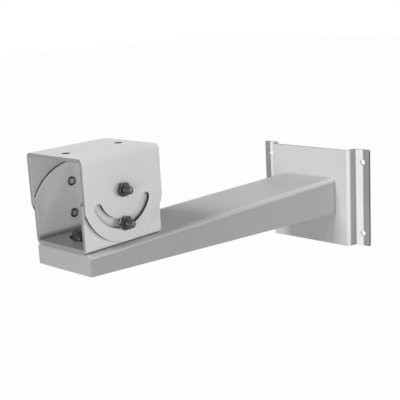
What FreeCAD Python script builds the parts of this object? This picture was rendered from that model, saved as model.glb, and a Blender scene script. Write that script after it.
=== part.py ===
import FreeCAD, Part
import math
import os

# Camera wall bracket: a pressed wall plate, a tapered box arm and a pan and tilt head of two
# nested sheet yokes.  Millimetres, +Z up, the wall is the plane Y = 0 and the arm reaches
# towards -Y.  The origin is the centre of the wall plate's back.

# Wall plate, a top-hat section whose web stands off the wall
PLATE_HEIGHT = 97.0
PLATE_SHEET = 2.5
PLATE_STAND_OFF = 13.0
PLATE_BEND_RADIUS = 0.8
PLATE_SPLAY = 2.5
WEB_WIDTH = 94.0
FLANGE_WIDTH = 15.0
FLANGE_CORNER_RADIUS = 1.0
WALL_HOLE_DIAMETER = 5.5
WALL_HOLE_EDGE = 7.5
WALL_HOLE_SPACING_Z = 72.0

# Arm, a folded channel closed by a bottom plate and an end plate
ARM_REACH = 327.0
ARM_WIDTH = 64.0
ARM_SHEET = 2.5
ARM_BEND_RADIUS = 1.5
ARM_DEPTH_AT_WALL = 36.0
ARM_DEPTH_AT_HEAD = 17.0
ARM_TOP_Z = 19.5

# Yokes
YOKE_SHEET = 3.0
YOKE_BEND_RADIUS = 0.8
YOKE_DEPTH = 77.0
YOKE_OVERHANG = 1.5
LOWER_YOKE_WIDTH = 60.0
LOWER_RIM_RADIUS = 43.0
LOWER_RIM_HEIGHT = 60.0
HEAD_HEIGHT = 72.0
UPPER_ROUND_RADIUS = 40.5
SLIDE_GAP = 0.3

# Tilt pivot and its lock, measured from the arm's top and from the yokes' middle
PIVOT_HEIGHT = 43.5
PIVOT_AHEAD = 2.5
TILT_SLOT_RADIUS = 26.0
TILT_SLOT_WIDTH = 7.4
TILT_SLOT_HALF_ANGLE = 66.0

# Pan pivot in the middle of the yokes, and its lock in front of it
PAN_LOCK_RADIUS = 20.0
PAN_SLOT_WIDTH = 7.4
PAN_SLOT_HALF_ANGLE = 38.0

# Camera platform
CAMERA_HOLE_DIAMETER = 6.6
CAMERA_HOLE_SPACING = 52.0

# Fasteners: M6 studs and lock bolt, M8 pan bolt
SMALL_THREAD = 6.0
SMALL_ACROSS_FLATS = 10.0
SMALL_HEAD_HEIGHT = 4.0
SMALL_WELD_NUT_HEIGHT = 5.0
SMALL_WASHER_DIAMETER = 11.0
SMALL_SPRING_DIAMETER = 10.4
THIN_NUT_HEIGHT = 3.2
LARGE_THREAD = 8.0
LARGE_ACROSS_FLATS = 13.0
LARGE_HEAD_HEIGHT = 5.3
LARGE_WELD_NUT_HEIGHT = 6.5
LARGE_WASHER_DIAMETER = 16.0
LARGE_SPRING_DIAMETER = 14.4
CHEEK_WASHER_THICKNESS = 1.0
FLOOR_WASHER_THICKNESS = 1.6
WASHER_BORE_GAP = 0.2
SPRING_THICKNESS = 1.6
SPRING_SPLIT = 1.2
SPRING_SPLIT_ANGLE = 25.0
HEXAGON_FLAT_SHARE = 0.95
HEXAGON_CHAMFER_ANGLE = 30.0
RUNNING_FIT = 0.08
BOLT_HOLE_GAP = 0.2
BOLT_END_PAST_NUT = 2.0
STUD_END_PAST_NUT = 6.0
STUD_HEAD_DIAMETER = 7.4
STUD_HEAD_SUNK = 1.2
STUD_HEAD_PROUD = 0.8
THREAD_END_CHAMFER = 0.8

# Places that follow from the sizes
MID = FreeCAD.Vector(0, 0, 0)
UP = FreeCAD.Vector(0, 0, 1)
ALONG_X = FreeCAD.Vector(1, 0, 0)
WEB_FRONT_Y = -PLATE_STAND_OFF
ARM_END_Y = -ARM_REACH
YOKE_FRONT_Y = ARM_END_Y - YOKE_OVERHANG
YOKE_BACK_Y = YOKE_FRONT_Y + YOKE_DEPTH
HEAD_Y = (YOKE_FRONT_Y + YOKE_BACK_Y) / 2
PIVOT_Y = HEAD_Y - PIVOT_AHEAD
PIVOT_Z = ARM_TOP_Z + PIVOT_HEIGHT
TILT_LOCK_Z = PIVOT_Z - TILT_SLOT_RADIUS
PAN_LOCK_Y = HEAD_Y - PAN_LOCK_RADIUS
FLOOR_BOTTOM_Z = ARM_TOP_Z + SLIDE_GAP
FLOOR_TOP_Z = FLOOR_BOTTOM_Z + YOKE_SHEET
LOWER_CHEEK_X = LOWER_YOKE_WIDTH / 2
UPPER_CHEEK_INNER_X = LOWER_CHEEK_X + SLIDE_GAP
UPPER_CHEEK_X = UPPER_CHEEK_INNER_X + YOKE_SHEET
HEAD_TOP_Z = ARM_TOP_Z + HEAD_HEIGHT
WALL_HOLE_X = WEB_WIDTH / 2 + PLATE_SPLAY + FLANGE_WIDTH - WALL_HOLE_EDGE


def in_xz(u, v):
    return FreeCAD.Vector(u, 0, v)


def in_yz(u, v):
    return FreeCAD.Vector(0, u, v)


def in_xy(u, v):
    return FreeCAD.Vector(u, v, 0)


def outline_face(corners, plane):
    """Face inside straight runs whose corners (u, v, radius) are rounded."""
    spots = [FreeCAD.Vector(u, v, 0) for u, v, radius in corners]
    edges = []
    ends = []
    for index, (u, v, radius) in enumerate(corners):
        here = spots[index]
        to_last = (spots[index - 1] - here).normalize()
        to_next = (spots[(index + 1) % len(spots)] - here).normalize()
        if radius == 0:
            ends.append((here, here))
            continue
        half = to_last.getAngle(to_next) / 2
        run = radius / math.tan(half)
        middle_way = (to_last + to_next).normalize()
        start = here + to_last * run
        finish = here + to_next * run
        crown = here + middle_way * (radius / math.sin(half) - radius)
        ends.append((start, finish))
        edges.append(Part.Arc(plane(start.x, start.y), plane(crown.x, crown.y),
                              plane(finish.x, finish.y)).toShape())
    for index, (start, finish) in enumerate(ends):
        following = ends[(index + 1) % len(ends)][0]
        edges.append(Part.LineSegment(plane(finish.x, finish.y),
                                      plane(following.x, following.y)).toShape())
    return Part.Face(Part.Wire(Part.__sortEdges__(edges)))


def box_between(low, high):
    size = high - low
    return Part.makeBox(size.x, size.y, size.z, low)


def rod(radius, start, finish):
    """Round bar between two points."""
    way = finish - start
    return Part.makeCylinder(radius, way.Length, start, way)


def mirrored(shape):
    return shape.mirror(MID, ALONG_X)


def channel_corners(half_width, sheet, bend, base, rim):
    """Section of a U whose web lies at base and whose legs end at rim."""
    way = 1 if rim > base else -1
    web_inside = base + way * sheet
    inner = half_width - sheet
    outer_bend = bend + sheet
    return [(-half_width, base, outer_bend), (half_width, base, outer_bend),
            (half_width, rim, 0), (inner, rim, 0),
            (inner, web_inside, bend), (-inner, web_inside, bend),
            (-inner, rim, 0), (-half_width, rim, 0)]


def arc_slot(radius, width, half_angle, centre, axis, down):
    """Curved slot cutter, as long as two half angles, about an axis through centre."""
    reach = LOWER_YOKE_WIDTH
    side = axis.cross(down)
    sweep = math.radians(half_angle)
    cutter_low = centre - axis * reach

    def spot(distance, angle):
        return cutter_low + down * (distance * math.cos(angle)) + side * (distance * math.sin(angle))

    inner = radius - width / 2
    outer = radius + width / 2
    end_bulge = math.asin(width / 2 / radius)
    edges = [Part.Arc(spot(outer, -sweep), spot(outer, 0), spot(outer, sweep)).toShape(),
             Part.Arc(spot(outer, sweep), spot(radius, sweep + end_bulge), spot(inner, sweep)).toShape(),
             Part.Arc(spot(inner, sweep), spot(inner, 0), spot(inner, -sweep)).toShape(),
             Part.Arc(spot(inner, -sweep), spot(radius, -sweep - end_bulge), spot(outer, -sweep)).toShape()]
    return Part.Face(Part.Wire(edges)).extrude(axis * (2 * reach))


def wall_plate():
    """Top-hat section with splayed side walls, sharp bends and two fixing holes a side."""
    web = WEB_WIDTH / 2
    wall_foot = web + PLATE_SPLAY
    tip = wall_foot + FLANGE_WIDTH
    foot = -PLATE_SHEET
    back = WEB_FRONT_Y + PLATE_SHEET
    lean = PLATE_SPLAY / (foot - WEB_FRONT_Y)
    wall_across = PLATE_SHEET * math.hypot(1, lean)
    inner_web = wall_foot + (back - foot) * lean - wall_across
    inner_foot = wall_foot - foot * lean - wall_across
    bend = PLATE_BEND_RADIUS
    outer_bend = bend + PLATE_SHEET
    section = [(-tip, 0, 0), (-tip, foot, 0), (-wall_foot, foot, bend), (-web, WEB_FRONT_Y, outer_bend),
               (web, WEB_FRONT_Y, outer_bend), (wall_foot, foot, bend), (tip, foot, 0), (tip, 0, 0),
               (inner_foot, 0, outer_bend), (inner_web, back, bend), (-inner_web, back, bend),
               (-inner_foot, 0, outer_bend)]
    plate = outline_face(section, in_xy).extrude(UP * PLATE_HEIGHT)
    plate.translate(UP * (-PLATE_HEIGHT / 2))
    corners = [edge for edge in plate.Edges
               if abs(edge.CenterOfMass.y - foot / 2) < PLATE_SHEET / 4
               and abs(abs(edge.CenterOfMass.x) - tip) < FLANGE_CORNER_RADIUS / 4
               and abs(abs(edge.CenterOfMass.z) - PLATE_HEIGHT / 2) < FLANGE_CORNER_RADIUS / 4]
    plate = plate.makeFillet(FLANGE_CORNER_RADIUS, corners)
    for x in (-WALL_HOLE_X, WALL_HOLE_X):
        for z in (-WALL_HOLE_SPACING_Z / 2, WALL_HOLE_SPACING_Z / 2):
            plate = plate.cut(rod(WALL_HOLE_DIAMETER / 2, FreeCAD.Vector(x, -2 * PLATE_SHEET, z),
                                  FreeCAD.Vector(x, PLATE_SHEET, z)))
    return plate


def arm_block(half_width, top, bend):
    """Tapered bar inside the arm's outline, its two upper long edges rounded."""
    bottom_at_wall = ARM_TOP_Z - ARM_DEPTH_AT_WALL
    bottom_at_head = ARM_TOP_Z - ARM_DEPTH_AT_HEAD
    section = [(-half_width, bottom_at_wall, 0), (half_width, bottom_at_wall, 0),
               (half_width, top, bend), (-half_width, top, bend)]
    bar = outline_face(section, in_xz).extrude(FreeCAD.Vector(0, ARM_END_Y - WEB_FRONT_Y, 0))
    bar.translate(FreeCAD.Vector(0, WEB_FRONT_Y, 0))
    below = [(WEB_FRONT_Y, bottom_at_wall, 0), (ARM_END_Y, bottom_at_head, 0),
             (ARM_END_Y, bottom_at_wall, 0)]
    wedge = outline_face(below, in_yz).extrude(ALONG_X * (2 * ARM_WIDTH))
    wedge.translate(ALONG_X * (-ARM_WIDTH))
    return bar.cut(wedge)


def arm_cavity():
    return arm_block(ARM_WIDTH / 2 - ARM_SHEET, ARM_TOP_Z - ARM_SHEET, ARM_BEND_RADIUS)


def arm_channel():
    """Top and two tapered sides, folded from one sheet and open below."""
    channel = arm_block(ARM_WIDTH / 2, ARM_TOP_Z, ARM_BEND_RADIUS + ARM_SHEET).cut(arm_cavity())
    for thread, y in ((LARGE_THREAD, HEAD_Y), (SMALL_THREAD, PAN_LOCK_Y)):
        channel = channel.cut(rod(thread / 2 + BOLT_HOLE_GAP,
                                  FreeCAD.Vector(0, y, ARM_TOP_Z - 2 * ARM_SHEET),
                                  FreeCAD.Vector(0, y, ARM_TOP_Z + ARM_SHEET)))
    return channel


def arm_bottom_plate():
    """Sloping plate let in between the channel's sides, flush with their lower edges."""
    lift = UP * ARM_SHEET
    cavity = arm_cavity()
    raised = cavity.copy()
    raised.translate(lift)
    return cavity.cut(raised)


def arm_end_plate():
    """Plate that closes the free end, standing on the bottom plate."""
    slab = box_between(FreeCAD.Vector(-ARM_WIDTH, ARM_END_Y, ARM_TOP_Z - ARM_DEPTH_AT_WALL),
                       FreeCAD.Vector(ARM_WIDTH, ARM_END_Y + ARM_SHEET, ARM_TOP_Z))
    return arm_cavity().common(slab).cut(arm_bottom_plate())


def cheek_cutter(corners_and_arc):
    """Extrude a closed outline in the YZ plane right across both yokes."""
    face = Part.Face(Part.Wire(Part.__sortEdges__(corners_and_arc)))
    cutter = face.extrude(ALONG_X * (4 * LOWER_YOKE_WIDTH))
    cutter.translate(ALONG_X * (-2 * LOWER_YOKE_WIDTH))
    return cutter


def rounded_cheek(square_z, arc_end_z, crown_z):
    """Solid over the yokes' depth, square at square_z and arched to crown_z at the other end."""
    low_front = FreeCAD.Vector(0, YOKE_FRONT_Y, square_z)
    low_back = FreeCAD.Vector(0, YOKE_BACK_Y, square_z)
    arc_front = FreeCAD.Vector(0, YOKE_FRONT_Y, arc_end_z)
    arc_back = FreeCAD.Vector(0, YOKE_BACK_Y, arc_end_z)
    crown = FreeCAD.Vector(0, HEAD_Y, crown_z)
    return cheek_cutter([Part.LineSegment(low_front, low_back).toShape(),
                         Part.LineSegment(low_back, arc_back).toShape(),
                         Part.Arc(arc_back, crown, arc_front).toShape(),
                         Part.LineSegment(arc_front, low_front).toShape()])


def arc_side_drop(radius):
    """How far an arc of this radius falls from its crown to the yokes' front and back edges."""
    half = YOKE_DEPTH / 2
    return radius - math.sqrt(radius * radius - half * half)


def lower_yoke():
    """Upright U on the arm: its cheeks are arched, its floor has the pan hole and slot."""
    rim_z = ARM_TOP_Z + LOWER_RIM_HEIGHT
    section = channel_corners(LOWER_CHEEK_X, YOKE_SHEET, YOKE_BEND_RADIUS, FLOOR_BOTTOM_Z, rim_z)
    yoke = outline_face(section, in_xz).extrude(FreeCAD.Vector(0, YOKE_DEPTH, 0))
    yoke.translate(FreeCAD.Vector(0, YOKE_FRONT_Y, 0))
    arc_end_z = rim_z - arc_side_drop(LOWER_RIM_RADIUS)
    yoke = yoke.common(rounded_cheek(FLOOR_BOTTOM_Z, arc_end_z, rim_z))
    for z in (PIVOT_Z, TILT_LOCK_Z):
        yoke = yoke.cut(rod(SMALL_THREAD / 2, FreeCAD.Vector(-LOWER_YOKE_WIDTH, PIVOT_Y, z),
                            FreeCAD.Vector(LOWER_YOKE_WIDTH, PIVOT_Y, z)))
        seat = LOWER_CHEEK_X - YOKE_SHEET + STUD_HEAD_SUNK
        yoke = yoke.cut(rod(STUD_HEAD_DIAMETER / 2, FreeCAD.Vector(-seat, PIVOT_Y, z),
                            FreeCAD.Vector(seat, PIVOT_Y, z)))
    yoke = yoke.cut(rod(LARGE_THREAD / 2 + RUNNING_FIT, FreeCAD.Vector(0, HEAD_Y, ARM_TOP_Z),
                        FreeCAD.Vector(0, HEAD_Y, FLOOR_TOP_Z + YOKE_SHEET)))
    slot = arc_slot(PAN_LOCK_RADIUS, PAN_SLOT_WIDTH, PAN_SLOT_HALF_ANGLE,
                    FreeCAD.Vector(0, HEAD_Y, FLOOR_BOTTOM_Z), UP, FreeCAD.Vector(0, -1, 0))
    return yoke.cut(slot)


def upper_yoke():
    """Inverted U outside the lower one: cheeks round below, a curved slot about each pivot."""
    crown_z = PIVOT_Z - UPPER_ROUND_RADIUS
    section = channel_corners(UPPER_CHEEK_X, YOKE_SHEET, YOKE_BEND_RADIUS, HEAD_TOP_Z, crown_z)
    yoke = outline_face(section, in_xz).extrude(FreeCAD.Vector(0, YOKE_DEPTH, 0))
    yoke.translate(FreeCAD.Vector(0, YOKE_FRONT_Y, 0))
    arc_end_z = crown_z + arc_side_drop(UPPER_ROUND_RADIUS)
    yoke = yoke.common(rounded_cheek(HEAD_TOP_Z, arc_end_z, crown_z))
    yoke = yoke.cut(rod(SMALL_THREAD / 2 + RUNNING_FIT, FreeCAD.Vector(-LOWER_YOKE_WIDTH, PIVOT_Y, PIVOT_Z),
                        FreeCAD.Vector(LOWER_YOKE_WIDTH, PIVOT_Y, PIVOT_Z)))
    slot = arc_slot(TILT_SLOT_RADIUS, TILT_SLOT_WIDTH, TILT_SLOT_HALF_ANGLE,
                    FreeCAD.Vector(0, PIVOT_Y, PIVOT_Z), ALONG_X, FreeCAD.Vector(0, 0, -1))
    yoke = yoke.cut(slot)
    for y in (HEAD_Y - CAMERA_HOLE_SPACING / 2, HEAD_Y + CAMERA_HOLE_SPACING / 2):
        yoke = yoke.cut(rod(CAMERA_HOLE_DIAMETER / 2, FreeCAD.Vector(0, y, HEAD_TOP_Z - 2 * YOKE_SHEET),
                            FreeCAD.Vector(0, y, HEAD_TOP_Z + YOKE_SHEET)))
    return yoke


def turned_cap(across_flats, height):
    """Round body whose upper edge trims a hexagon's corners at 30 degrees."""
    flat = HEXAGON_FLAT_SHARE * across_flats / 2
    outer = across_flats
    fall = (outer - flat) * math.tan(math.radians(HEXAGON_CHAMFER_ANGLE))
    profile = [in_xz(0, height - fall), in_xz(outer, height - fall), in_xz(flat, height),
               in_xz(0, height), in_xz(0, height - fall)]
    cone = Part.Face(Part.makePolygon(profile)).revolve(MID, UP, 360)
    below = box_between(FreeCAD.Vector(-outer, -outer, height - fall - across_flats),
                        FreeCAD.Vector(outer, outer, height - fall))
    return cone.fuse(below)


def hexagon(across_flats, height):
    """Hexagon standing on the origin with its upper corners turned down."""
    corner = across_flats / math.sqrt(3)
    turns = [math.radians(60 * step) for step in range(7)]
    rim = Part.makePolygon([in_xy(corner * math.cos(turn), corner * math.sin(turn)) for turn in turns])
    return Part.Face(rim).extrude(UP * height).common(turned_cap(across_flats, height))


def ring(outer_diameter, bore, thickness):
    tall = UP * thickness
    return rod(outer_diameter / 2, MID, tall).cut(rod(bore / 2, MID, tall))


def flat_washer(outer_diameter, thread, thickness):
    return ring(outer_diameter, thread + WASHER_BORE_GAP, thickness)


def spring_washer(outer_diameter, thread):
    """Ring with one slanted split."""
    gap = box_between(FreeCAD.Vector(0, -SPRING_SPLIT / 2, -SPRING_THICKNESS),
                      FreeCAD.Vector(outer_diameter, SPRING_SPLIT / 2, 2 * SPRING_THICKNESS))
    gap.rotate(UP * (SPRING_THICKNESS / 2), ALONG_X, SPRING_SPLIT_ANGLE)
    return ring(outer_diameter, thread + WASHER_BORE_GAP, SPRING_THICKNESS).cut(gap)


def nut(across_flats, height, thread):
    return hexagon(across_flats, height).cut(rod(thread / 2, MID, UP * height))


def turned_shank(thread, start_z, end_z):
    """Round shank from start_z down to end_z, its end chamfered."""
    radius = thread / 2
    tip = radius - THREAD_END_CHAMFER
    profile = [in_xz(0, start_z), in_xz(radius, start_z), in_xz(radius, end_z + THREAD_END_CHAMFER),
               in_xz(tip, end_z), in_xz(0, end_z), in_xz(0, start_z)]
    return Part.Face(Part.makePolygon(profile)).revolve(MID, UP, 360)


def hex_bolt(across_flats, head_height, thread, length):
    """Bolt whose head stands on the origin and whose shank hangs below it."""
    return hexagon(across_flats, head_height).fuse(turned_shank(thread, 0, -length))


def clinch_stud(length):
    """Stud along +Z whose disc head lies below the origin and is sunk into the sheet."""
    head = rod(STUD_HEAD_DIAMETER / 2, UP * (-STUD_HEAD_PROUD), UP * STUD_HEAD_SUNK)
    shank = turned_shank(SMALL_THREAD, 0, -length)
    shank.rotate(MID, ALONG_X, 180)
    return head.fuse(shank)


def set_on_right_cheek(shape, x, z):
    """Turn a fastener's +Z to +X, with two flats level, and put it on the bolt line."""
    placed = shape.copy()
    placed.rotate(MID, UP, 30)
    placed.rotate(MID, FreeCAD.Vector(0, 1, 0), 90)
    placed.translate(FreeCAD.Vector(x, PIVOT_Y, z))
    return placed


def stand_at(shape, y, z):
    placed = shape.copy()
    placed.translate(FreeCAD.Vector(0, y, z))
    return placed


def write(name, shape):
    solids = shape.Solids
    whole = solids[0] if len(solids) == 1 else Part.makeCompound(solids)
    whole.exportStep("parts/%s.step" % name)
    print(name, len(solids), round(whole.Volume, 1), whole.isValid())


def write_cheek_fasteners(place, z):
    """Stud, washer and thin nut on each cheek."""
    stud_x = LOWER_CHEEK_X - YOKE_SHEET
    washer_x = UPPER_CHEEK_X + SLIDE_GAP
    nut_x = washer_x + CHEEK_WASHER_THICKNESS
    stud_length = nut_x + THIN_NUT_HEIGHT + STUD_END_PAST_NUT - stud_x
    washer = flat_washer(SMALL_WASHER_DIAMETER, SMALL_THREAD, CHEEK_WASHER_THICKNESS)
    pieces = (("stud", clinch_stud(stud_length), stud_x),
              ("washer", washer, washer_x),
              ("nut", nut(SMALL_ACROSS_FLATS, THIN_NUT_HEIGHT, SMALL_THREAD), nut_x))
    for piece, shape, x in pieces:
        right = set_on_right_cheek(shape, x, z)
        write("right_%s_%s" % (place, piece), right)
        write("left_%s_%s" % (place, piece), mirrored(right))


def write_pan_fasteners(place, y, thread, across_flats, head_height, nut_height, washer_diameter,
                        spring_diameter):
    """Bolt with its washers on the lower yoke's floor, and the nut welded under the arm's top."""
    washer_z = FLOOR_TOP_Z + SLIDE_GAP
    spring_z = washer_z + FLOOR_WASHER_THICKNESS
    head_z = spring_z + SPRING_THICKNESS
    nut_z = ARM_TOP_Z - ARM_SHEET - nut_height
    length = head_z - nut_z + BOLT_END_PAST_NUT
    write("pan_%s_bolt" % place, stand_at(hex_bolt(across_flats, head_height, thread, length), y, head_z))
    write("pan_%s_spring_washer" % place, stand_at(spring_washer(spring_diameter, thread), y, spring_z))
    washer = flat_washer(washer_diameter, thread, FLOOR_WASHER_THICKNESS)
    write("pan_%s_washer" % place, stand_at(washer, y, washer_z))
    write("pan_%s_weld_nut" % place, stand_at(nut(across_flats, nut_height, thread), y, nut_z))


os.makedirs("parts", exist_ok=True)
write("wall_plate", wall_plate())
write("arm_channel", arm_channel())
write("arm_bottom_plate", arm_bottom_plate())
write("arm_end_plate", arm_end_plate())
write("lower_yoke", lower_yoke())
write("upper_yoke", upper_yoke())
write_cheek_fasteners("pivot", PIVOT_Z)
write_cheek_fasteners("tilt_lock", TILT_LOCK_Z)
write_pan_fasteners("pivot", HEAD_Y, LARGE_THREAD, LARGE_ACROSS_FLATS, LARGE_HEAD_HEIGHT,
                    LARGE_WELD_NUT_HEIGHT, LARGE_WASHER_DIAMETER, LARGE_SPRING_DIAMETER)
write_pan_fasteners("lock", PAN_LOCK_Y, SMALL_THREAD, SMALL_ACROSS_FLATS, SMALL_HEAD_HEIGHT,
                    SMALL_WELD_NUT_HEIGHT, SMALL_WASHER_DIAMETER, SMALL_SPRING_DIAMETER)
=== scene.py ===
import math

import bmesh
import bpy
from bpy.props import FloatProperty, FloatVectorProperty, IntProperty, PointerProperty
from bpy.types import Operator, Panel, PropertyGroup
from mathutils import Matrix, Vector


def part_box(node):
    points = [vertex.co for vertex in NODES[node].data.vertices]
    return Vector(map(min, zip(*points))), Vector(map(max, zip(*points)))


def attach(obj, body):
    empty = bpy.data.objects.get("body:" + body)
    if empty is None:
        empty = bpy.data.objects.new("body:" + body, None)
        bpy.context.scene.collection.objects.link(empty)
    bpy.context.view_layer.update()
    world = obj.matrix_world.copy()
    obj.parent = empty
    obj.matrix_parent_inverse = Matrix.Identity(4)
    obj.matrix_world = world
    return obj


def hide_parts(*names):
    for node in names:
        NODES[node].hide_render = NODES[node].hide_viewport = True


bl_info = {
    "name": "Camera wall bracket",
    "version": (1, 0, 0),
    "blender": (4, 5, 0),
    "location": "3D View > Sidebar > Bracket",
    "description": "Paint, blackened fasteners, threads, lights and camera for a camera wall bracket",
    "category": "Object",
}

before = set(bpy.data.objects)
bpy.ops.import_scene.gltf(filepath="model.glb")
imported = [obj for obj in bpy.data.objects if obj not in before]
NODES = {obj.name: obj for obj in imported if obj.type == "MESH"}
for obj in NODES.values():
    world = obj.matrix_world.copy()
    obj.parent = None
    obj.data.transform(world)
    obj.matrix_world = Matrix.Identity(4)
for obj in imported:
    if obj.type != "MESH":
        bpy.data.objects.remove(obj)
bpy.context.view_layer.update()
SIDES = ("right", "left")
CHEEK_PLACES = ("pivot", "tilt_lock")
CHEEK_WASHERS = tuple("%s_%s_washer" % (side, place) for side in SIDES for place in CHEEK_PLACES)
ARM_NODES = ("arm_channel", "arm_bottom_plate", "arm_end_plate")
FASTENER_NODES = tuple(sorted(name for name in NODES
                              if name.endswith(("_washer", "_nut", "_bolt"))))
WHITE = (1.0, 1.0, 1.0, 1.0)


# Shader maths

class Wire:
    """An output of a node, which sums and products take as they take a number."""

    def __init__(self, recipe, socket):
        self.recipe = recipe
        self.socket = socket

    def maths(self, operation, *values):
        return self.recipe.node("ShaderNodeMath", {"operation": operation}, dict(enumerate(values)))

    def __add__(self, other):
        return self.maths("ADD", self, other)

    def __radd__(self, other):
        return self.maths("ADD", other, self)

    def __sub__(self, other):
        return self.maths("SUBTRACT", self, other)

    def __rsub__(self, other):
        return self.maths("SUBTRACT", other, self)

    def __mul__(self, other):
        return self.maths("MULTIPLY", self, other)

    def __rmul__(self, other):
        return self.maths("MULTIPLY", other, self)

    def at_most(self, other):
        return self.maths("MINIMUM", self, other)

    def at_least(self, other):
        return self.maths("MAXIMUM", self, other)

    def without_sign(self):
        return self.maths("ABSOLUTE", self)

    def between(self, low, high):
        """0 below low, 1 above high and a smooth rise between them."""
        return self.recipe.node("ShaderNodeMapRange", {"interpolation_type": "SMOOTHSTEP"},
                                {"Value": self, "From Min": low, "From Max": high})


class Recipe:
    """The nodes of one material or of the world."""

    def __init__(self, tree):
        self.tree = tree
        tree.nodes.clear()

    def node(self, kind, settings=None, sockets=None, output=0):
        """Add a node, its settings first and its sockets after them, and give one output."""
        made = self.tree.nodes.new(kind)
        for setting, value in (settings or {}).items():
            setattr(made, setting, value)
        for name, value in (sockets or {}).items():
            if isinstance(value, Wire):
                self.tree.links.new(value.socket, made.inputs[name])
            else:
                made.inputs[name].default_value = value
        return Wire(self, made.outputs[output])

    def place(self):
        """Where a point of the surface is on the piece, in metres."""
        return self.node("ShaderNodeTexCoord", output="Object")

    def noise(self, size, detail=2.0):
        """Cloudy value from 0 to 1 whose patches are about as wide as size, in metres."""
        return self.node("ShaderNodeTexNoise", {},
                         {"Vector": self.place(), "Scale": 1 / size, "Detail": detail})

    def blend_colours(self, share, first, second):
        return self.node("ShaderNodeMix", {"data_type": "RGBA"},
                         {"Factor": share, "A": first, "B": second}, output="Result")

    def scaled_vector(self, vector, factors):
        return self.node("ShaderNodeVectorMath", {"operation": "MULTIPLY"}, {0: vector, 1: factors})

    def distance_from_line(self, point, across):
        """Distance in metres from a line through point, whose direction across leaves out."""
        apart = self.node("ShaderNodeVectorMath", {"operation": "SUBTRACT"}, {0: self.place(), 1: point})
        return self.node("ShaderNodeVectorMath", {"operation": "LENGTH"},
                         {0: self.scaled_vector(apart, across)}, output="Value")

    def part_of(self, vector, axis):
        """One axis of a vector."""
        return self.node("ShaderNodeSeparateXYZ", {}, {"Vector": vector}, output=axis)

    def facing(self, axis):
        """How far the surface faces along an axis of the piece, either way, from 0 to 1."""
        normal = self.node("ShaderNodeTexCoord", output="Normal")
        return self.part_of(normal, axis).without_sign()

    def square_to(self, axis, start=0.7, full=0.9):
        """1 on the flats that face along an axis of the piece, either way."""
        return self.facing(axis).between(start, full)

    def across(self):
        """Distance in metres from the bracket's middle plane."""
        return self.part_of(self.place(), "X").without_sign()

    def within(self, value, low, high, softness=0.0002):
        """1 where a value lies between low and high."""
        return value.between(low - softness, low) * (1 - value.between(high, high + softness))

    def edge(self, low, high):
        """1 along outer edges and 0 on flat faces."""
        sharpness = self.node("ShaderNodeNewGeometry", output="Pointiness")
        return sharpness.between(low, high)

    def bump(self, height, depth):
        return self.node("ShaderNodeBump", {}, {"Height": height, "Distance": depth})

    def finish_surface(self, shader):
        self.node_output("ShaderNodeOutputMaterial", shader)

    def finish_world(self, shader):
        self.node_output("ShaderNodeOutputWorld", shader)

    def node_output(self, kind, shader):
        made = self.tree.nodes.new(kind)
        self.tree.links.new(shader.socket, made.inputs["Surface"])


def new_recipe(name):
    material = bpy.data.materials.new(name)
    material.use_nodes = True
    return material, Recipe(material.node_tree)


def shade(colour, factor):
    """A colour made lighter or darker, with its alpha kept at one."""
    return tuple(min(1.0, channel * factor) for channel in tuple(colour)[:3]) + (1.0,)


# Finishes

def cheek_cuts(recipe, web_low, web_high, web_half):
    """1 on the cut edges of a yoke, whose web lies level between two heights, and in the web's holes: the
    mask of the painted shade there.
    """
    bend_start = web_half - 0.002
    bend_full = web_half - 0.001
    level = recipe.square_to("Z")
    web = recipe.within(recipe.part_of(recipe.place(), "Z"), web_low, web_high)
    rims = (1 - recipe.square_to("X", start=0.3, full=0.6)) * (1 - level * web)
    holes = web * (1 - level) * (1 - recipe.across().between(bend_start, bend_full))
    return rims.at_least(holes)


def end_faces(recipe, front, back):
    """1 on the faces at the very front and the very back of a piece, where shade is painted."""
    full = 0.0003
    none = 0.0005
    along = recipe.part_of(recipe.place(), "Y")
    at_front = 1 - along.between(front + full, front + none)
    at_back = along.between(back - none, back - full)
    return at_front.at_least(at_back) * recipe.square_to("Y")


def folded_corner(recipe, half_width, top, bend):
    """1 on the arm's two folded upper corners, where the highlight is painted."""
    full = bend * 0.8
    side = recipe.across().between(half_width - bend, half_width - full)
    height = recipe.part_of(recipe.place(), "Z")
    return side * height.between(top - bend, top - full)


def plate_cuts(recipe, tip):
    """1 on the cut edges of the wall plate (its top, its bottom and its two tips), where shade is painted.
    """
    none = 0.0004
    full = 0.0002
    outside = recipe.across().between(tip - none, tip - full)
    return recipe.square_to("Z").at_least(outside * recipe.square_to("X"))


def flange_band(recipe, inner, outer):
    """1 on the wall plate's flanges between two distances from its middle: the mask of the painted highlight
    along the foot of the side walls and of the painted shade on the flanges' tips.
    """
    return recipe.within(recipe.across(), inner, outer) * recipe.square_to("Y")


def floor_shade_mask(recipe, half_width, floor, fade):
    """1 on the lower yoke's floor, falling to 0 within fade up its inner faces: the mask of the painted
    shade inside the lower yoke.
    """
    full = 0.0001
    none = 0.0003
    height = recipe.part_of(recipe.place(), "Z")
    inside = 1 - recipe.across().between(half_width + full, half_width + none)
    return inside * (1 - height.between(floor, floor + fade))


def rubbed_ring(recipe, point, inner, outer):
    """1 on a ring about a bolt across the cheeks."""
    inner_fade = 0.0006
    outer_fade = 0.0013
    away = recipe.distance_from_line(point, (0.0, 1.0, 1.0))
    return away.between(inner, inner + inner_fade) * (1 - away.between(outer, outer + outer_fade))


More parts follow.
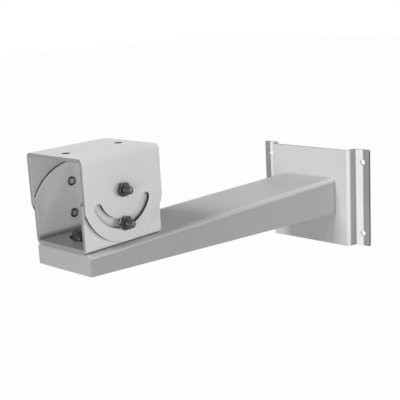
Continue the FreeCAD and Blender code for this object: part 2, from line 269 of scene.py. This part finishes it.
def powder_coat(name, colour, flake, paint, tones=(), rubs=()):
    """Baked silver-grey powder paint: a fine orange peel, faint clouds of tone and lighter, worn paint on
    the edges.

    tones holds a mask and a tone for each place that is painted darker or lighter than the rest, which is
    painted shade where it is darker and a painted highlight where it is lighter, and rubs holds the masks of
    the rings that washers have rubbed.  A mask is a function of the recipe.
    """
    material, recipe = new_recipe(name)
    peel = recipe.noise(paint.peel_size)
    grain = recipe.noise(paint.grain_size, detail=1.0)
    cloud = recipe.noise(paint.cloud_size, detail=3.0)
    tone = (cloud * 0.7 + grain * 0.3).between(0.3, 0.7)
    painted = recipe.blend_colours(tone, shade(colour, 1 - paint.tone_spread),
                                   shade(colour, 1 + paint.tone_spread))
    thin_on_edge = shade(colour, 1.25)
    under_washer = shade(colour, 0.7)
    polish = 0.1
    worn = recipe.edge(0.52, 0.6) * paint.edge_wear
    painted = recipe.blend_colours(worn, painted, thin_on_edge)
    roughness = paint.roughness + (grain - 0.5) * 0.12 - worn * polish
    for rub in rubs:
        rubbed = rub(recipe)
        painted = recipe.blend_colours(rubbed * 0.3, painted, under_washer)
        roughness = roughness - rubbed * polish
    # Painted shade and painted highlights: each mask paints its place darker or lighter.
    for mask, factor in tones:
        painted = recipe.blend_colours(mask(recipe), painted, shade(colour, factor))
    shader = recipe.node("ShaderNodeBsdfPrincipled", {}, {
        "Base Color": painted,
        "Metallic": flake,
        "Roughness": roughness,
        "Specular IOR Level": 0.5,
        "Normal": recipe.bump(peel * 0.8 + grain * 0.2, paint.peel_depth)})
    recipe.finish_surface(shader)
    return material


def blackened_steel(name, metal):
    """Oiled black oxide on steel, rubbed to grey along the corners."""
    material, recipe = new_recipe(name)
    mottle = recipe.noise(metal.mottle_size, detail=3.0)
    scratches = recipe.noise(metal.mottle_size / 6, detail=1.0)
    body = recipe.blend_colours(mottle.between(0.3, 0.7), shade(metal.colour, 0.75),
                                shade(metal.colour, 1.25))
    worn = recipe.edge(0.53, 0.64) * metal.edge_wear
    body = recipe.blend_colours(worn, body, shade(metal.worn_colour, 1))
    shader = recipe.node("ShaderNodeBsdfPrincipled", {}, {
        "Base Color": body,
        "Metallic": 0.85,
        "Roughness": metal.roughness + (mottle - 0.5) * 0.2 - worn * 0.1,
        "Normal": recipe.bump(mottle * 0.6 + scratches * 0.4, metal.mottle_depth)})
    recipe.finish_surface(shader)
    return material


def zinc_plate(name, metal):
    """Bright zinc with a faint dull bloom."""
    material, recipe = new_recipe(name)
    bloom = recipe.noise(metal.mottle_size * 2, detail=3.0)
    plated = recipe.blend_colours(bloom.between(0.35, 0.7), shade(metal.zinc_colour, 0.85),
                                  shade(metal.zinc_colour, 1.1))
    shader = recipe.node("ShaderNodeBsdfPrincipled", {}, {
        "Base Color": plated,
        "Metallic": 0.8,
        "Roughness": 0.34 + (bloom - 0.5) * 0.2,
        "Normal": recipe.bump(bloom, metal.mottle_depth)})
    recipe.finish_surface(shader)
    return material


def give_finish(node, material):
    """Put one material on a CAD node."""
    slots = NODES[node].data.materials
    slots.clear()
    slots.append(material)


def soften_edges(node, width):
    """Show a CAD node with its sharp edges rounded by width."""
    piece = NODES[node]
    seams = piece.modifiers.new("joined_seams", "WELD")
    seams.merge_threshold = 0.000002
    flats = piece.modifiers.new("whole_flats", "DECIMATE")
    flats.decimate_type = "DISSOLVE"
    flats.angle_limit = math.radians(0.5)
    corners = piece.modifiers.new("soft_corners", "BEVEL")
    corners.width = width
    corners.segments = 2
    corners.limit_method = "ANGLE"
    corners.angle_limit = math.radians(40)
    corners.use_clamp_overlap = False
    corners.harden_normals = True
    normals = piece.modifiers.new("even_normals", "WEIGHTED_NORMAL")
    normals.keep_sharp = True


# Threads

def thread_radius(turn_share, along, outer, depth, pitch):
    """Radius of an outside thread at an angle and a place along it."""
    root_share = 0.12
    flank_share = 0.72
    phase = (along / pitch - turn_share) % 1.0
    slope = abs(phase - 0.5) * 2
    crest = min(1.0, max(0.0, (slope - root_share) / flank_share))
    return outer - depth * (1 - crest)


def threaded_rod(mesh, outer, length, metal):
    """Rod along +Z from the origin, threaded all along, its far end chamfered."""
    pitch = metal.thread_pitch
    depth = metal.thread_depth
    around = metal.thread_facets
    per_pitch = 8
    same_place = 0.0000015
    rows = int(math.ceil((length + 2 * pitch) / pitch)) * per_pitch
    columns = []
    for spoke in range(around):
        share = spoke / around
        column = []
        for row in range(rows + per_pitch + 1):
            along = pitch * (row / per_pitch + share) - pitch
            along = min(length, max(0.0, along))
            radius = thread_radius(share, along, outer, depth, pitch)
            radius = min(radius, outer - metal.end_chamfer + (length - along))
            angle = 2 * math.pi * share
            column.append(mesh.verts.new((radius * math.cos(angle), radius * math.sin(angle), along)))
        columns.append(column)
    for spoke in range(around):
        here = columns[spoke]
        last = spoke == around - 1
        following = columns[0] if last else columns[spoke + 1]
        shift = per_pitch if last else 0
        for row in range(rows):
            mesh.faces.new((here[row], following[row + shift], following[row + shift + 1], here[row + 1]))
    bmesh.ops.remove_doubles(mesh, verts=mesh.verts, dist=same_place)
    rims = [edge for edge in mesh.edges if edge.is_boundary]
    bmesh.ops.holes_fill(mesh, edges=rims, sides=0)


def stud_head(mesh, radius, low, high, facets, edge, dish):
    """Disc from low to high on the Z axis, its lower edge rounded and its lower face dished."""
    rings = []
    bright_share = 0.58
    bright = radius * bright_share
    for ring_radius, z in ((bright, low + dish), (bright + dish, low), (radius - edge, low),
                           (radius, low + edge), (radius, high)):
        turns = [2 * math.pi * step / facets for step in range(facets)]
        rings.append([mesh.verts.new((ring_radius * math.cos(turn), ring_radius * math.sin(turn), z))
                      for turn in turns])
    for lower, upper in zip(rings, rings[1:]):
        for step in range(facets):
            following = (step + 1) % facets
            mesh.faces.new((lower[step], lower[following], upper[following], upper[step]))
    centre = mesh.faces.new(list(reversed(rings[0])))
    centre.material_index = 1
    mesh.faces.new(rings[-1])


def threaded_stud(side, place, metal, steel, zinc):
    """Stud whose disc head lies in the lower yoke's cheek and whose threaded end stands out."""
    node = "%s_%s_stud" % (side, place)
    low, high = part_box(node)
    way = 1 if side == "right" else -1
    head_radius = (high.z - low.z) / 2
    start = low.x if side == "right" else high.x
    length = high.x - low.x
    mesh = bmesh.new()
    threaded_rod(mesh, metal.thread_diameter / 2, length - metal.head_thickness / 2, metal)
    bmesh.ops.translate(mesh, verts=mesh.verts, vec=(0, 0, metal.head_thickness / 2))
    stud_head(mesh, head_radius, 0.0, metal.head_thickness, metal.thread_facets, metal.head_edge,
              metal.head_dish)
    bmesh.ops.rotate(mesh, verts=mesh.verts, cent=(0, 0, 0),
                     matrix=Matrix.Rotation(way * math.radians(90), 3, "Y"))
    middle = (low + high) / 2
    bmesh.ops.translate(mesh, verts=mesh.verts, vec=(start, middle.y, middle.z))
    bmesh.ops.recalc_face_normals(mesh, faces=mesh.faces)
    for face in mesh.faces:
        face.smooth = True
    data = bpy.data.meshes.new("%s_%s_threaded_stud" % (side, place))
    mesh.to_mesh(data)
    mesh.free()
    data.set_sharp_from_angle(angle=math.radians(38))
    stud = bpy.data.objects.new(data.name, data)
    bpy.context.scene.collection.objects.link(stud)
    data.materials.append(steel)
    data.materials.append(zinc)
    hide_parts(node)
    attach(stud, "pan_head")


# Settings

class BracketPaint(PropertyGroup):
    """Colours and surface of the powder paint."""

    head_colour: FloatVectorProperty(
        name="Head colour", description="Paint of the two yokes",
        subtype="COLOR", default=(0.74, 0.74, 0.745), min=0, max=1)
    plate_colour: FloatVectorProperty(
        name="Plate colour", description="Paint of the wall plate",
        subtype="COLOR", default=(0.585, 0.585, 0.588), min=0, max=1)
    arm_colour: FloatVectorProperty(
        name="Arm colour", description="Paint of the arm",
        subtype="COLOR", default=(0.41, 0.407, 0.415), min=0, max=1)
    roughness: FloatProperty(
        name="Roughness", description="How matt the paint is", default=0.4, min=0, max=1, subtype="FACTOR")
    flake: FloatProperty(
        name="Metal flake", description="How much the paint of the arm and the head shines as metal does",
        default=0.05, min=0, max=1, subtype="FACTOR")
    plate_flake: FloatProperty(
        name="Plate flake", description="How much the wall plate's paint shines as metal does",
        default=0.12, min=0, max=1, subtype="FACTOR")
    # Painted highlight: a lighter line is painted along the bends of the plate's web.
    web_bend_highlight_width: FloatProperty(
        name="Bend line", description="Width of the light line along the bends of the plate's web",
        default=0.002, min=0, max=0.02, unit="LENGTH", precision=4)
    bend_past: FloatProperty(
        name="Bend past corner", description="How far past the web's corner its bend ends on the side wall",
        default=0.0006, min=0, max=0.01, unit="LENGTH", precision=4)
    web_bend_highlight_tone: FloatProperty(
        name="Bend tone", description="Tone of that line as a share of the paint's",
        default=1.18, min=0, max=2)
    # Painted shade: the wall plate's side walls are painted darker than its web.
    wall_painted_shade: FloatProperty(
        name="Side wall tone", description="Tone of the plate's side walls as a share of the paint's",
        default=0.54, min=0, max=2)
    # Painted highlight: a lighter band is painted on the flanges along the foot of the side walls.
    foot_highlight_width: FloatProperty(
        name="Foot band", description="Width of the light band along the foot of the plate's side walls",
        default=0.0082, min=0, max=0.02, unit="LENGTH", precision=4)
    foot_highlight_tone: FloatProperty(
        name="Foot tone", description="Tone of that band as a share of the paint's",
        default=1.36, min=0, max=2)
    # Painted shade: the flanges' outer bands are painted darker.
    tip_painted_shade: FloatProperty(
        name="Tip tone", description="Tone of the flanges' outer bands as a share of the paint's",
        default=0.46, min=0, max=2)
    # Painted light: the whole lower yoke is painted lighter than the head's paint.
    lower_painted_light: FloatProperty(
        name="Lower yoke tone", description="Tone of the lower yoke as a share of the head's paint",
        default=1.05, min=0, max=1.3)
    # Painted shade: slots, holes, curved edges and the plate's cut edges are painted nearly black.
    cut_painted_shade: FloatProperty(
        name="Cut edge tone", description="Tone of slots, holes and curved edges as a share of the paint's",
        default=0.06, min=0, max=1, subtype="FACTOR")
    # Painted shade: the yokes' front and back edges are painted darker.
    edge_painted_shade: FloatProperty(
        name="Straight edge tone",
        description="Tone of the yokes' front and back edges as a share of the paint's",
        default=0.3, min=0, max=1, subtype="FACTOR")
    arm_bend: FloatProperty(
        name="Arm bend", description="Outer radius of the arm's folded corners",
        default=0.004, min=0.0005, max=0.02, unit="LENGTH", precision=4)
    # Painted highlight: the arm's folded corners are painted lighter.
    arm_bend_highlight_tone: FloatProperty(
        name="Arm bend tone", description="Tone of those corners as a share of the paint's",
        default=1.3, min=0, max=2)
    # Painted shade: the arm's free end is painted darker.
    arm_end_painted_shade: FloatProperty(
        name="Arm end tone", description="Tone of the arm's free end as a share of the paint's",
        default=0.86, min=0, max=2)
    # Painted shade: the floor inside the lower yoke and the foot of its inner faces are painted darker.
    floor_painted_shade: FloatProperty(
        name="Floor shade tone", description="Painted shade inside the lower yoke, as a share of the paint's tone",
        default=0.22, min=0, max=1, subtype="FACTOR")
    floor_shade_reach: FloatProperty(
        name="Floor shade height",
        description="How far the painted shade reaches up the lower yoke's inner faces",
        default=0.006, min=0.0005, max=0.05, unit="LENGTH", precision=4)
    flange_width: FloatProperty(
        name="Flange width", description="From the foot of the plate's side walls out to its tips",
        default=0.015, min=0.001, max=0.05, unit="LENGTH", precision=4)
    splay: FloatProperty(
        name="Splay", description="How far the plate's side walls run outwards from the web to their foot",
        default=0.0025, min=0, max=0.02, unit="LENGTH", precision=4)
    yoke_sheet: FloatProperty(
        name="Yoke sheet", description="Thickness of the yokes' sheet",
        default=0.003, min=0.001, max=0.01, unit="LENGTH", precision=4)
    peel_size: FloatProperty(
        name="Orange peel size", description="Width of one bump of the paint",
        default=0.0014, min=0.0002, max=0.01, unit="LENGTH", precision=5)
    peel_depth: FloatProperty(
        name="Orange peel depth", description="Height of the paint's bumps",
        default=0.00004, min=0, max=0.001, unit="LENGTH", precision=6)
    grain_size: FloatProperty(
        name="Grain size", description="Width of one grain in the paint",
        default=0.00035, min=0.0001, max=0.01, unit="LENGTH", precision=5)
    cloud_size: FloatProperty(
        name="Cloud size", description="Width of the patches that differ in tone",
        default=0.035, min=0.005, max=0.5, unit="LENGTH", precision=4)
    tone_spread: FloatProperty(
        name="Tone spread", description="How far the paint's tone wanders",
        default=0.025, min=0, max=0.3, subtype="FACTOR")
    edge_wear: FloatProperty(
        name="Edge wear", description="How much the edges show through the paint",
        default=0.5, min=0, max=1, subtype="FACTOR")
    edge_radius: FloatProperty(
        name="Edge radius", description="Rounding that the paint gives a cut edge",
        default=0.0003, min=0.00005, max=0.001, unit="LENGTH", precision=5)


class BracketMetal(PropertyGroup):
    """Finish of the fasteners and the form of the studs' threads."""

    colour: FloatVectorProperty(
        name="Steel colour", description="Black oxide on the fasteners",
        subtype="COLOR", default=(0.06, 0.06, 0.063), min=0, max=1)
    worn_colour: FloatVectorProperty(
        name="Worn colour", description="Steel where the oxide is rubbed off",
        subtype="COLOR", default=(0.3, 0.3, 0.3), min=0, max=1)
    zinc_colour: FloatVectorProperty(
        name="Zinc colour", description="Plating of the cheek washers and of the studs' inner ends",
        subtype="COLOR", default=(0.4, 0.4, 0.405), min=0, max=1)
    roughness: FloatProperty(
        name="Roughness", description="How matt the steel is", default=0.38, min=0, max=1, subtype="FACTOR")
    mottle_size: FloatProperty(
        name="Mottle size", description="Width of the patches in the oxide",
        default=0.0018, min=0.0002, max=0.02, unit="LENGTH", precision=5)
    mottle_depth: FloatProperty(
        name="Mottle depth", description="Height of the oxide's grain",
        default=0.00002, min=0, max=0.001, unit="LENGTH", precision=6)
    edge_wear: FloatProperty(
        name="Edge wear", description="How much the corners are rubbed bare",
        default=0.55, min=0, max=1, subtype="FACTOR")
    edge_radius: FloatProperty(
        name="Edge radius", description="Rounding of the fasteners' edges",
        default=0.00012, min=0.00005, max=0.001, unit="LENGTH", precision=5)
    thread_diameter: FloatProperty(
        name="Thread diameter", description="Outside diameter of the studs' thread",
        default=0.006, min=0.003, max=0.02, unit="LENGTH", precision=4)
    thread_pitch: FloatProperty(
        name="Thread pitch", description="Length of one turn of the studs' thread",
        default=0.001, min=0.0005, max=0.003, unit="LENGTH", precision=5)
    thread_depth: FloatProperty(
        name="Thread depth", description="Depth of the studs' thread",
        default=0.00061, min=0.0001, max=0.002, unit="LENGTH", precision=5)
    end_chamfer: FloatProperty(
        name="End chamfer", description="Chamfer at the free end of a stud",
        default=0.0008, min=0, max=0.002, unit="LENGTH", precision=4)
    head_thickness: FloatProperty(
        name="Head thickness", description="Thickness of a stud's disc head",
        default=0.002, min=0.0005, max=0.01, unit="LENGTH", precision=4)
    head_edge: FloatProperty(
        name="Head edge", description="Rounding of a stud's disc head",
        default=0.0003, min=0.00005, max=0.001, unit="LENGTH", precision=5)
    head_dish: FloatProperty(
        name="Head dish", description="Depth of the dish in a stud's disc head",
        default=0.0003, min=0, max=0.001, unit="LENGTH", precision=5)
    thread_facets: IntProperty(
        name="Thread facets", description="Facets round a stud", default=40, min=12, max=128)


class BracketStage(PropertyGroup):
    """Camera, floor and lights."""

    azimuth: FloatProperty(
        name="Azimuth", description="Turn of the camera round the bracket",
        default=math.radians(44.017), subtype="ANGLE", unit="ROTATION")
    elevation: FloatProperty(
        name="Elevation", description="Angle of the camera above the horizon",
        default=math.radians(13.002), subtype="ANGLE", unit="ROTATION")
    roll: FloatProperty(
        name="Roll", description="Turn of the camera about its line of sight",
        default=math.radians(-3.116), subtype="ANGLE", unit="ROTATION")
    distance: FloatProperty(
        name="Distance", description="From the camera to the point that it looks at",
        default=0.67418, min=0.1, max=10, unit="LENGTH", precision=4)
    aim: FloatVectorProperty(
        name="Aim", description="Point that the camera looks at",
        default=(0.05381, -0.23003, 0.04431), subtype="XYZ", unit="LENGTH", precision=4)
    lens: FloatProperty(
        name="Lens", description="Focal length on a 36 mm sensor, in millimetres",
        default=76.76, min=10, max=300, subtype="DISTANCE_CAMERA")
    floor_drop: FloatProperty(
        name="Floor drop", description="From the plate's lower edge down to the floor",
        default=0.12, min=0, max=2, unit="LENGTH", precision=3)
    floor_colour: FloatVectorProperty(
        name="Floor colour", description="Colour of the floor",
        subtype="COLOR", default=(0.5, 0.5, 0.5), min=0, max=1)
    floor_glow: FloatProperty(
        name="Floor glow", description="Share of plain white that the camera sees on the floor",
        default=0.98, min=0, max=1, subtype="FACTOR")
    sky_strength: FloatProperty(
        name="Surround", description="Light that comes from all round", default=0.08, min=0, max=5)
    main_power: FloatProperty(
        name="Main lamp", description="Power of the lamp above the front",
        default=83.0, min=0, max=500, unit="POWER")
    front_power: FloatProperty(
        name="Front lamp", description="Power of the low lamp in front",
        default=2.2, min=0, max=500, unit="POWER")
    side_power: FloatProperty(
        name="Side lamp", description="Power of the lamp on the right",
        default=2.7, min=0, max=500, unit="POWER")
    wall_power: FloatProperty(
        name="Wall lamp", description="Power of the spot above the arm's wall end",
        default=26.0, min=0, max=500, unit="POWER")
    wall_cone: FloatProperty(
        name="Wall lamp cone", description="Full angle of that spot",
        default=math.radians(17), min=0.02, max=3, subtype="ANGLE", unit="ROTATION")


# Pieces

class BRACKET_OT_wall_plate(Operator):
    """Paint the wall plate"""

    bl_idname = "bracket.wall_plate"
    bl_label = "Wall plate"

    def execute(self, context):
        paint = context.scene.bracket_paint
        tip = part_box("wall_plate")[1].x
        foot = tip - paint.flange_width
        band = foot + paint.foot_highlight_width
        bend_end = foot - paint.splay + paint.bend_past
        bend_start = bend_end - paint.web_bend_highlight_width
        # Painted shade on the side walls, from the end of the web's bend to their foot.
        tones = ((lambda recipe: recipe.within(recipe.across(), bend_end, foot), paint.wall_painted_shade),
                 # Painted highlight along the web's bends.
                 (lambda recipe: recipe.within(recipe.across(), bend_start, bend_end), paint.web_bend_highlight_tone),
                 # Painted highlight on the flanges along the foot of the side walls.
                 (lambda recipe: flange_band(recipe, foot, band), paint.foot_highlight_tone),
                 # Painted shade on the flanges' outer bands.
                 (lambda recipe: flange_band(recipe, band, tip), paint.tip_painted_shade),
                 # Painted shade on the plate's cut edges.
                 (lambda recipe: plate_cuts(recipe, tip), paint.cut_painted_shade))
        coat = powder_coat("plate_paint", paint.plate_colour, paint.plate_flake, paint, tones)
        give_finish("wall_plate", coat)
        soften_edges("wall_plate", paint.edge_radius)
        return {"FINISHED"}


class BRACKET_OT_arm(Operator):
    """Paint the arm's channel, its bottom plate and its end plate"""

    bl_idname = "bracket.arm"
    bl_label = "Arm"

    def execute(self, context):
        paint = context.scene.bracket_paint
        low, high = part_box("arm_channel")
        grey = powder_coat("arm_paint", paint.arm_colour, paint.flake, paint,
                           # Painted highlight on the arm's folded corners.
                           ((lambda recipe: folded_corner(recipe, high.x, high.z, paint.arm_bend),
                             paint.arm_bend_highlight_tone),
                            # Painted shade on the arm's end faces.
                            (lambda recipe: end_faces(recipe, low.y, high.y), paint.arm_end_painted_shade)))
        for node in ARM_NODES:
            give_finish(node, grey)
            soften_edges(node, paint.edge_radius)
        return {"FINISHED"}


class BRACKET_OT_head(Operator):
    """Paint the two yokes, with a rubbed ring where the pivot washers turn"""

    bl_idname = "bracket.head"
    bl_label = "Head"

    def execute(self, context):
        paint = context.scene.bracket_paint
        sheet = paint.yoke_sheet
        washer_low, washer_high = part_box("right_pivot_washer")
        pivot = tuple((washer_low + washer_high) / 2)
        washer_radius = (washer_high.z - washer_low.z) / 2
        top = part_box("upper_yoke")[1].z
        lower_low, lower_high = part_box("lower_yoke")
        floor = lower_low.z
        inside = lower_high.x - sheet
        rub_radius = washer_radius + 0.0006
        # Painted light: the lower yoke's paint is a lighter copy of the head's.
        lower_lit_colour = shade(paint.head_colour, paint.lower_painted_light)
        # Painted shade on the yokes' front and back edges.
        straight_edge_shade = (lambda recipe: end_faces(recipe, lower_low.y, lower_high.y), paint.edge_painted_shade)
        # Painted shade on the yokes' slots, holes and curved edges.
        upper_cut_shade = (lambda recipe: cheek_cuts(recipe, top - sheet, top, inside), paint.cut_painted_shade)
        lower_cut_shade = (lambda recipe: cheek_cuts(recipe, floor, floor + sheet, inside), paint.cut_painted_shade)
        # Painted shade on the lower yoke's floor, fading up its inner faces.
        shaded_floor = (lambda recipe: floor_shade_mask(recipe, inside, floor + sheet, paint.floor_shade_reach), paint.floor_painted_shade)
        rubs = (lambda recipe: rubbed_ring(recipe, pivot, washer_radius, rub_radius),)
        upper = powder_coat("upper_yoke_paint", paint.head_colour, paint.flake, paint,
                            (upper_cut_shade, straight_edge_shade), rubs)
        lower = powder_coat("lower_yoke_paint", lower_lit_colour, paint.flake, paint,
                            (shaded_floor, lower_cut_shade, straight_edge_shade))
        for node, material in (("upper_yoke", upper), ("lower_yoke", lower)):
            give_finish(node, material)
            soften_edges(node, paint.edge_radius)
        return {"FINISHED"}


class BRACKET_OT_fasteners(Operator):
    """Blacken the nuts and the pan bolts and plate the cheek washers"""

    bl_idname = "bracket.fasteners"
    bl_label = "Nuts, washers and bolts"

    def execute(self, context):
        metal = context.scene.bracket_metal
        steel = blackened_steel("dark_steel", metal)
        zinc = zinc_plate("bright_zinc", metal)
        for node in FASTENER_NODES:
            give_finish(node, zinc if node in CHEEK_WASHERS else steel)
            soften_edges(node, metal.edge_radius)
        return {"FINISHED"}


class BRACKET_OT_studs(Operator):
    """Cut the threads of the four cheek studs"""

    bl_idname = "bracket.studs"
    bl_label = "Threaded studs"

    def execute(self, context):
        metal = context.scene.bracket_metal
        steel = blackened_steel("stud_steel", metal)
        zinc = zinc_plate("stud_zinc", metal)
        for side in SIDES:
            for place in CHEEK_PLACES:
                threaded_stud(side, place, metal, steel, zinc)
        return {"FINISHED"}


# Stage

def seen_directly(recipe):
    """1 for what the camera, a reflection or glass sees, and 0 for light that falls on things."""
    camera = recipe.node("ShaderNodeLightPath", output="Is Camera Ray")
    glossy = recipe.node("ShaderNodeLightPath", output="Is Glossy Ray")
    through = recipe.node("ShaderNodeLightPath", output="Is Transmission Ray")
    return (camera + glossy + through).at_most(1.0)


def white_surround(strength):
    world = bpy.data.worlds.new("studio_surround")
    world.use_nodes = True
    bpy.context.scene.world = world
    recipe = Recipe(world.node_tree)
    lit = recipe.node("ShaderNodeBackground", {}, {"Color": WHITE, "Strength": strength})
    shown = recipe.node("ShaderNodeBackground", {}, {"Color": WHITE, "Strength": 1.0})
    recipe.finish_world(recipe.node("ShaderNodeMixShader", {}, {0: seen_directly(recipe), 1: lit, 2: shown}))


def studio_floor(stage):
    half = 6.0
    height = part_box("wall_plate")[0].z - stage.floor_drop
    corners = [(-half, -half, height), (half, -half, height), (half, half, height), (-half, half, height)]
    data = bpy.data.meshes.new("floor")
    data.from_pydata(corners, [], [(0, 1, 2, 3)])
    floor = bpy.data.objects.new("floor", data)
    bpy.context.scene.collection.objects.link(floor)
    material, recipe = new_recipe("pale_floor")
    matt = recipe.node("ShaderNodeBsdfDiffuse", {}, {"Color": shade(stage.floor_colour, 1)})
    glow = recipe.node("ShaderNodeEmission", {}, {"Color": WHITE, "Strength": 1.0})
    recipe.finish_surface(recipe.node("ShaderNodeMixShader", {},
                                      {0: seen_directly(recipe) * stage.floor_glow, 1: matt, 2: glow}))
    data.materials.append(material)


def hang_lamp(name, light, place, aim):
    lamp = bpy.data.objects.new(name, light)
    bpy.context.scene.collection.objects.link(lamp)
    lamp.location = place
    lamp.rotation_euler = (Vector(aim) - Vector(place)).to_track_quat("-Z", "Y").to_euler()


def soft_lamp(name, place, aim, size, power):
    light = bpy.data.lights.new(name, "AREA")
    light.shape = "DISK"
    light.size = size
    light.energy = power
    hang_lamp(name, light, place, aim)


def spot_lamp(name, place, aim, cone, size, power):
    """Lamp whose light fades evenly from the middle of its cone to the rim."""
    light = bpy.data.lights.new(name, "SPOT")
    light.spot_size = cone
    light.spot_blend = 1.0
    light.shadow_soft_size = size
    light.energy = power
    hang_lamp(name, light, place, aim)


def photo_camera(stage):
    azimuth, elevation, roll = stage.azimuth, stage.elevation, stage.roll
    back = Vector((math.sin(azimuth) * math.cos(elevation), -math.cos(azimuth) * math.cos(elevation),
                   math.sin(elevation)))
    level_right = Vector((math.cos(azimuth), math.sin(azimuth), 0.0))
    level_up = back.cross(level_right)
    right = math.cos(roll) * level_right + math.sin(roll) * level_up
    up = back.cross(right)
    data = bpy.data.cameras.new("photo_camera")
    data.lens = stage.lens
    camera = bpy.data.objects.new("photo_camera", data)
    bpy.context.scene.collection.objects.link(camera)
    camera.rotation_mode = "QUATERNION"
    camera.rotation_quaternion = Matrix((right, up, back)).transposed().to_quaternion()
    camera.location = Vector(stage.aim) + back * stage.distance
    bpy.context.scene.camera = camera


class BRACKET_OT_stage(Operator):
    """Put up the floor, the surround, the lamps and the camera"""

    bl_idname = "bracket.stage"
    bl_label = "Stage"

    def execute(self, context):
        stage = context.scene.bracket_stage
        context.scene.view_settings.view_transform = "Standard"
        white_surround(stage.sky_strength)
        studio_floor(stage)
        soft_lamp("main_lamp", place=(-0.1, -2.5, 2.25), aim=stage.aim, size=1.2, power=stage.main_power)
        soft_lamp("front_lamp", place=(0.49, -0.92, 0.1), aim=stage.aim, size=0.35, power=stage.front_power)
        soft_lamp("side_lamp", place=(0.95, 0.2, 0.12), aim=stage.aim, size=0.4, power=stage.side_power)
        spot_lamp("wall_lamp", place=(0.71, -0.38, 1.29), aim=(0.03, 0.0, 0.0), cone=stage.wall_cone,
                  size=0.1, power=stage.wall_power)
        photo_camera(stage)
        return {"FINISHED"}


class BRACKET_PT_panel(Panel):
    """The bracket's pieces and settings"""

    bl_idname = "BRACKET_PT_panel"
    bl_label = "Camera wall bracket"
    bl_space_type = "VIEW_3D"
    bl_region_type = "UI"
    bl_category = "Bracket"

    def draw(self, context):
        scene = context.scene
        for settings in (scene.bracket_paint, scene.bracket_metal, scene.bracket_stage):
            box = self.layout.box()
            for name in settings.__annotations__:
                box.prop(settings, name)
        for operator in OPERATORS:
            self.layout.operator(operator.bl_idname)


OPERATORS = (BRACKET_OT_wall_plate, BRACKET_OT_arm, BRACKET_OT_head, BRACKET_OT_fasteners, BRACKET_OT_studs,
             BRACKET_OT_stage)
SETTINGS = {"bracket_paint": BracketPaint, "bracket_metal": BracketMetal, "bracket_stage": BracketStage}


def register():
    for group in SETTINGS.values():
        bpy.utils.register_class(group)
    for name, group in SETTINGS.items():
        setattr(bpy.types.Scene, name, PointerProperty(type=group))
    for operator in OPERATORS:
        bpy.utils.register_class(operator)
    bpy.utils.register_class(BRACKET_PT_panel)


def unregister():
    bpy.utils.unregister_class(BRACKET_PT_panel)
    for operator in reversed(OPERATORS):
        bpy.utils.unregister_class(operator)
    for name, group in SETTINGS.items():
        delattr(bpy.types.Scene, name)
        bpy.utils.unregister_class(group)


def main():
    register()
    bpy.ops.bracket.wall_plate()
    bpy.ops.bracket.arm()
    bpy.ops.bracket.head()
    bpy.ops.bracket.fasteners()
    bpy.ops.bracket.studs()
    bpy.ops.bracket.stage()


if __name__ == "__main__":
    main()
